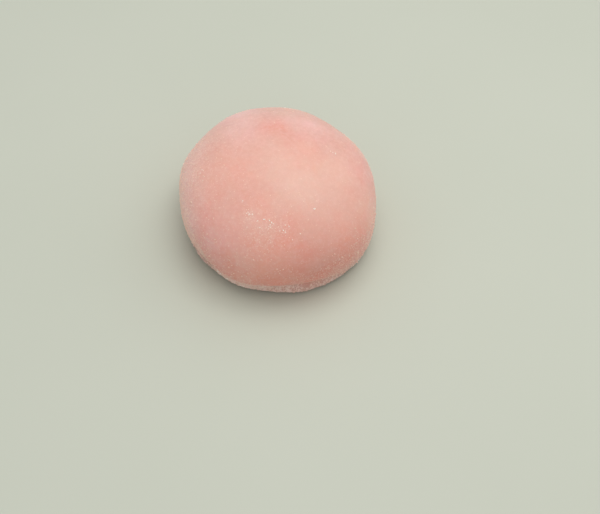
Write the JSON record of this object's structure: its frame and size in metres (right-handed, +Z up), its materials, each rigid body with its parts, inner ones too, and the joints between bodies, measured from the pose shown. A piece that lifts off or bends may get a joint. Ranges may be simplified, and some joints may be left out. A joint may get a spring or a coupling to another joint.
{
  "type": "mochi rice cake",
  "caption": "Round pink rice cake of soft dough, dusted with starch, a little uneven from the hand and settled on a flat base.",
  "frame": {"origin": "middle of the bounding box at the base, where the piece rests", "axes": "+Z up, -Y the front as served, +X to its right; about 64 mm along X, 68 mm along Y and 36 mm along Z"},
  "size_m": [0.0648, 0.0676, 0.0361],
  "materials": {
    "rice_dough": "soft translucent pink rice dough under a thin velvety dusting of white starch"
  },
  "bodies": {
    "root": {"mochi": "rice_dough"}
  },
  "joints": []
}
